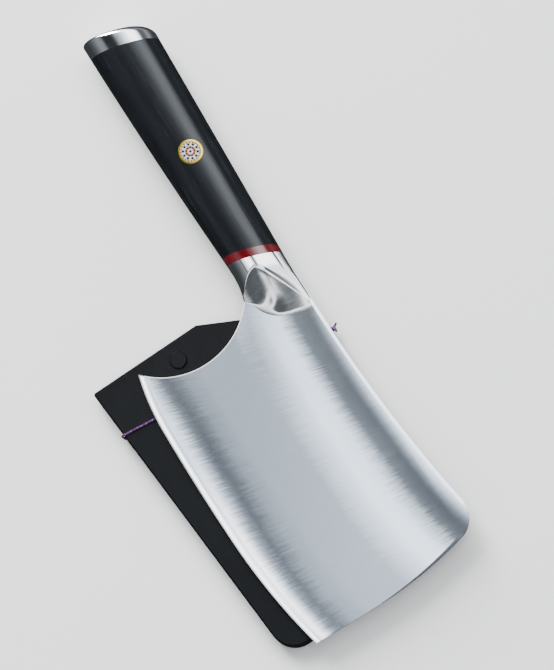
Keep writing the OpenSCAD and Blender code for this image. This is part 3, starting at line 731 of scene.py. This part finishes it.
def pin_piece(name, parts, proud):
    """One mesh of several rods or tubes, each (dx, dy, outer radius, inner radius), proud of the grip."""
    points, faces = [], []
    for dx, dy, outer, inner in parts:
        n = 96 if outer > 2 else 24
        shares = (1, 0.85, 0.7, 0.5, 0.3, 0.1) if outer > 2 else (1, 0.5)
        radii = [outer, inner] if inner else [outer * k for k in shares]
        m = len(radii)
        base = len(points)
        for side in (1, -1):
            for r in radii:
                for j in range(n):
                    a = 2 * math.pi * j / n
                    x = -MOSAIC_X + dx + r * math.cos(a)
                    y = MOSAIC_Y + dy + r * math.sin(a)
                    points.append((x, y, side * (grip_surface(x, y) + proud)))
        top_out, top_in = base, base + (m - 1) * n
        low_out, low_in = base + m * n, base + (2 * m - 1) * n
        for j in range(n):
            k = (j + 1) % n
            for i in range(m - 1):
                a, b = top_out + i * n, low_out + i * n
                faces.append((a + j, a + k, a + n + k, a + n + j))
                faces.append((b + k, b + j, b + n + j, b + n + k))
            faces.append((top_out + k, top_out + j, low_out + j, low_out + k))
            if inner:
                faces.append((top_in + j, top_in + k, low_in + k, low_in + j))
        if not inner:
            faces.append(tuple(top_in + j for j in range(n)))
            faces.append(tuple(low_in + j for j in range(n - 1, -1, -1)))
    return new_mesh(name, points, faces, smooth=False)


def ring_of(count, r, d, turn):
    places = [math.radians(turn + 360 * i / count) for i in range(count)]
    return [(r * math.cos(a), r * math.sin(a), d / 2, 0) for a in places]


# The rods are drawn thicker than their solids, so that they read at the photo's size.
CORE_D, ROD_D, DARK_D, FINE_D = 1.25, 1.05, 1.25, 0.75
# Rings of rods: how many, radius of the ring, diameter of a rod, turn of the first in degrees
INNER_RING, MIDDLE_RING, OUTER_RING = (9, 1.97, ROD_D, 32), (10, 3.46, DARK_D, 21), (20, 4.5, FINE_D, 10)
TUBE_PROUD, RESIN_PROUD, ROD_PROUD, RESIN_LAP = 0.03, 0.015, 0.06, 0.02
for name, parts, proud, material, slot, node in (
    ("pin_tube", [(0, 0, TUBE_R, BORE_R)], TUBE_PROUD, mosaic_brass(), "brass", "mosaic_tube"),
    ("pin_resin", [(0, 0, BORE_R + RESIN_LAP, 0)], RESIN_PROUD, mosaic_resin(), "white_resin", "mosaic_resin"),
    ("pin_core", [(0, 0, CORE_D / 2, 0)], ROD_PROUD, DARK_ROD, "dark_rod", "mosaic_core"),
    ("pin_inner", ring_of(*INNER_RING), ROD_PROUD, COPPER, "copper", "mosaic_inner_rods"),
    ("pin_middle", ring_of(*MIDDLE_RING), ROD_PROUD, DARK_ROD, "dark_rod", "mosaic_middle_rods"),
    ("pin_outer", ring_of(*OUTER_RING), ROD_PROUD, COPPER, "copper", "mosaic_outer_rods"),
):
    dress(pin_piece(name, parts, proud), material, "cleaver", slot, node)

# The cord: three twisted strands that follow the loop round the saya, and its knot.
SAYA_TURN = math.radians(1.3)
HEEL_X, SAYA_BACK, SAYA_OUT, SAYA_BOTTOM = 15.4, 4.4, 18.2, 1.1
SAYA_PLACE = np.array([HEEL_X - SAYA_BACK, EDGE_Y - SAYA_OUT, SAYA_BOTTOM - BLADE_Z])
SAYA_L, SAYA_H, SAYA_T, SAYA_TAPER = 152.5, 108.96, 9.0, 8.9
CORD_R, CORD_GAP, BEND_R = 0.525, 0.05, 1.375
CORD_U, CORD_SLANT = 24.6, math.radians(6.6)
CORD_V = SAYA_TAPER * CORD_U / SAYA_L
CORD_ACROSS = (SAYA_H - CORD_V) / math.cos(CORD_SLANT)
cord_turn = math.pi / 2 - CORD_SLANT + SAYA_TURN
ACROSS = np.array([math.cos(cord_turn), math.sin(cord_turn), 0])
ALONG = np.array([-math.sin(cord_turn), math.cos(cord_turn), 0])
UP = np.array([0, 0, 1.0])
CORD_START = SAYA_PLACE + UP * SAYA_T / 2 + np.array([
    CORD_U * math.cos(SAYA_TURN) - CORD_V * math.sin(SAYA_TURN),
    CORD_U * math.sin(SAYA_TURN) + CORD_V * math.cos(SAYA_TURN), 0,
])


def cord_place(across, along, up):
    return CORD_START + across * ACROSS + along * ALONG + up * UP


def even_steps(points, step, closed):
    """The same line in even steps."""
    line = np.array(points)
    if closed:
        line = np.vstack([line, line[:1]])
    lengths = np.concatenate([[0], np.cumsum(np.linalg.norm(np.diff(line, axis=0), axis=1))])
    count = max(4, round(lengths[-1] / step))
    at = np.linspace(0, lengths[-1], count + 1)[: count if closed else count + 1]
    return np.stack([np.interp(at, lengths, line[:, k]) for k in range(3)], axis=1), lengths[-1]


STRANDS, STRAND_SIDES = 3, 8
# A strand's radius as a share of the cord's, and how far the ends of an open cord are drawn in
STRAND_SHARE, END_SHARE = 0.48, 0.75


def rope(name, points, aside, closed, pitch=3.2, step=0.2):
    """Strands twisted round a line that lies in the plane whose normal is aside."""
    line, length = even_steps(points, step, closed)
    n = len(line)
    ahead = np.roll(line, -1, axis=0) - np.roll(line, 1, axis=0)
    if not closed:
        ahead[0], ahead[-1] = line[1] - line[0], line[-1] - line[-2]
    ahead /= np.linalg.norm(ahead, axis=1)[:, None]
    side = np.cross(ahead, aside)
    side /= np.linalg.norm(side, axis=1)[:, None]
    turns = max(1, round(length / pitch)) if closed else length / pitch
    strand_r = CORD_R * STRAND_SHARE
    verts, faces = [], []
    for strand in range(STRANDS):
        base = len(verts)
        for i in range(n):
            twist = 2 * math.pi * (turns * i / (n if closed else n - 1) + strand / STRANDS)
            out = math.cos(twist) * side[i] + math.sin(twist) * aside
            centre = line[i] + out * (CORD_R - strand_r)
            end = min(i, n - 1 - i)
            r = strand_r * (1 if closed or end > 1 else END_SHARE)
            for j in range(STRAND_SIDES):
                a = 2 * math.pi * j / STRAND_SIDES
                verts.append(centre + r * (math.cos(a) * side[i] + math.sin(a) * aside))
        for i in range(n if closed else n - 1):
            here, there = base + i * STRAND_SIDES, base + (i + 1) % n * STRAND_SIDES
            for j in range(STRAND_SIDES):
                k = (j + 1) % STRAND_SIDES
                faces.append((here + j, here + k, there + k, there + j))
        if not closed:
            last = base + (n - 1) * STRAND_SIDES
            faces.append(tuple(base + j for j in range(STRAND_SIDES - 1, -1, -1)))
            faces.append(tuple(last + j for j in range(STRAND_SIDES)))
    return new_mesh(name, verts, faces)


# The loop stands off the saya's near side by up to this much, most at its top, and lies close from here on
BULGE, BULGE_END, BEND_STEPS = 0.3, 4, 8


def cord_loop():
    out = CORD_R + CORD_GAP
    half = SAYA_T / 2
    near = BEND_R - out
    far = CORD_ACROSS - near
    points = []
    for centre, start in (((near, half - near), 180), ((far, half - near), 90),
                          ((far, near - half), 0), ((near, near - half), -90)):
        for k in range(BEND_STEPS + 1):
            a = math.radians(start - 90 * k / BEND_STEPS)
            points.append((centre[0] + BEND_R * math.cos(a), centre[1] + BEND_R * math.sin(a)))
    loose = []
    for across, up in points:
        bulge = BULGE * max(0, 1 - across / BULGE_END) * (0.5 + up / SAYA_T)
        loose.append(cord_place(across - bulge, 0, up))
    return loose


cord = rope("twisted_cord", cord_loop(), ALONG, True)
dress(cord, THREAD, "saya", "purple_cord", "saya_cord")
SEAT = CORD_ACROSS + 2 * (CORD_R + CORD_GAP) + CORD_R + CORD_GAP


def knot_end(side, reach):
    """One of the knot's short ends, which bends aside and rises a little on its way."""
    points = []
    for t in np.linspace(0, 1, 12):
        along, up = side * (0.2 + t + 0.75 * t * t), 0.25 * side + 0.3 * math.sin(3 * t)
        points.append(cord_place(SEAT - 0.5 + reach * t, along, up))
    return points


def knot_turn():
    return [cord_place(SEAT + 0.12 * math.sin(2 * a), 0.84 * math.cos(a), 0.84 * math.sin(a))
            for a in np.linspace(0, 2 * math.pi, 32, endpoint=False)]


# The knot's turn takes the painted lit copy of the thread, its ends the painted shaded copy.
for i, (points, aside, closed) in enumerate((
    (knot_turn(), ACROSS, True), (knot_end(1, 2.2), UP, False), (knot_end(-1, 0.6), UP, False),
)):
    piece = rope(f"knot_{i}", points, aside, closed, pitch=2.4, step=0.12)
    dress(piece, KNOT_THREAD_PAINTED_LIT if closed else END_THREAD_PAINTED_SHADE, "saya", "purple_cord", "cord_knot")

# The blade, the saya and the lock pin keep their solids. All but the blade and the rim get soft edges.
SOFT_EDGE = 0.3
nodes = frame["nodes"]
for name, material in (
    ("blade", blade_steel()), ("saya_front", COATING), ("saya_back", COATING), ("saya_rim", COATING),
    ("lock_pin", PIN_WOOD),
):
    nodes[name].data.materials.clear()
    nodes[name].data.materials.append(material)
for name in ("saya_front", "saya_back", "lock_pin"):
    edge = nodes[name].modifiers.new("soft_edges", "BEVEL")
    edge.width = SOFT_EDGE * MM
    edge.segments = 2
    edge.limit_method = "ANGLE"
    edge.harden_normals = True

# Floor, light and camera
bpy.ops.mesh.primitive_plane_add(size=6, location=(0, 0, 0))
floor = bpy.context.object
floor.name = "floor"
floor.data.materials.append(pale_floor())
floor.visible_glossy = False

TILT = math.radians(13)
CAMERA_DISTANCE, LENS, SENSOR_W = 1.5, 174, 36
UP_IN_VIEW = np.array([0.54, 0.842]) / math.hypot(0.54, 0.842)
back = np.array([math.sin(TILT), 0, math.cos(TILT)])
across = np.array([math.cos(TILT), 0, -math.sin(TILT)])
aside = np.array([0, 1.0, 0])
right = UP_IN_VIEW[0] * across + UP_IN_VIEW[1] * aside
up = -UP_IN_VIEW[1] * across + UP_IN_VIEW[0] * aside
target = world([[35.3, -10.3, 0]])[0]
camera = bpy.data.objects.new("camera", bpy.data.cameras.new("camera"))
bpy.context.scene.collection.objects.link(camera)
camera.data.lens = LENS
camera.data.sensor_width = SENSOR_W
camera.data.clip_end = 20
rotation = Matrix([[right[i], up[i], back[i]] for i in range(3)]).to_4x4()
camera.matrix_world = Matrix.Translation(Vector(target + back * CAMERA_DISTANCE)) @ rotation
bpy.context.scene.camera = camera


def area(name, place, aim, size, power):
    light = bpy.data.lights.new(name, "AREA")
    light.shape = "RECTANGLE"
    light.size, light.size_y = size
    light.energy = power
    ob = bpy.data.objects.new(name, light)
    ob.location = place
    ob.rotation_euler = (Vector(aim) - Vector(place)).to_track_quat("-Z", "Y").to_euler()
    bpy.context.scene.collection.objects.link(ob)


# Brightness of the studio by the angle from straight up towards the spine side, in degrees
STUDIO = [
    (-180, 0.06), (-100, 0.06), (-75, 0.11), (-59, 0.22), (-44, 0.38), (-33, 0.33), (-27, 0.1), (-24, 0.035),
    (-8, 0.035), (-4, 0.13), (0, 0.65), (4, 1.2), (8, 2.0), (13, 2.8), (20, 4.6), (36, 4.6), (44, 2.6),
    (49, 0.6), (55, 0.15), (66, 0.18), (72, 0.25), (80, 0.45), (95, 0.22), (110, 0.08), (180, 0.06),
]
# Its brightness towards the blade's front, by the angle from straight up in that direction
FORE = [
    (2, 2.2), (6, 2.2), (12, 2.4), (18, 3.2), (23, 3.0), (28, 0.6), (32, 0.15), (60, 0.12), (68, 0.5),
    (76, 1.1), (110, 1.0),
]
# By the same angle, how much that second table counts
FORE_SHARE = [(0, 0), (5, 1), (100, 1), (120, 0)]
# The most that those tables may hold, and the brightness from which the light is nearly white
STUDIO_TOP, WHITE_AT = 5.0, 3
# Red and green against blue in the dim light and in the bright
DIM_TINT, BRIGHT_TINT = (0.86, 0.94), (0.985, 0.992)
# The tone seen past the floor
PAST_FLOOR = (1.05, 1.06, 1.07, 1)


def studio_world():
    shader = bpy.data.worlds.new("studio")
    shader.use_nodes = True
    tree = shader.node_tree
    links = tree.links
    parts = tree.nodes.new("ShaderNodeSeparateXYZ")
    links.new(tree.nodes.new("ShaderNodeTexCoord").outputs["Generated"], parts.inputs[0])

    def by_angle(axis, table, scale, tinted):
        angle = tree.nodes.new("ShaderNodeMath")
        angle.operation = "ARCTAN2"
        share = tree.nodes.new("ShaderNodeMapRange")
        share.inputs[1].default_value, share.inputs[2].default_value = -math.pi, math.pi
        ramp = tree.nodes.new("ShaderNodeValToRGB")
        points = ramp.color_ramp.elements
        points.remove(points[-1])
        for i, (degrees, value) in enumerate(table):
            p = points[0] if i == 0 else points.new(degrees / 360 + 0.5)
            p.position = degrees / 360 + 0.5
            warm = min(1, value / WHITE_AT)
            red, green = (mix(a, b, warm) if tinted else 1 for a, b in zip(DIM_TINT, BRIGHT_TINT))
            p.color = (value / scale * red, value / scale * green, value / scale, 1)
        links.new(parts.outputs[axis], angle.inputs[0])
        links.new(parts.outputs[2], angle.inputs[1])
        links.new(angle.outputs[0], share.inputs[0])
        links.new(share.outputs[0], ramp.inputs[0])
        return ramp.outputs[0]

    both = tree.nodes.new("ShaderNodeMix")
    both.data_type = "RGBA"
    links.new(by_angle(0, FORE_SHARE, 1, False), both.inputs[0])
    links.new(by_angle(1, STUDIO, STUDIO_TOP, True), both.inputs[6])
    links.new(by_angle(0, FORE, STUDIO_TOP, True), both.inputs[7])
    background = tree.nodes["Background"]
    links.new(both.outputs[2], background.inputs[0])
    background.inputs[1].default_value = STUDIO_TOP
    # Seen past the floor, the studio is one plain pale tone.
    plain = tree.nodes.new("ShaderNodeBackground")
    plain.inputs[0].default_value = PAST_FLOOR
    seen = tree.nodes.new("ShaderNodeMixShader")
    links.new(tree.nodes.new("ShaderNodeLightPath").outputs["Is Camera Ray"], seen.inputs[0])
    links.new(background.outputs[0], seen.inputs[1])
    links.new(plain.outputs[0], seen.inputs[2])
    links.new(seen.outputs[0], tree.nodes["World Output"].inputs[0])
    bpy.context.scene.world = shader


studio_world()
area("butt_box", place=(-2.3, 0, 1.5), aim=(0, 0, 0), size=(1.2, 2.6), power=190)
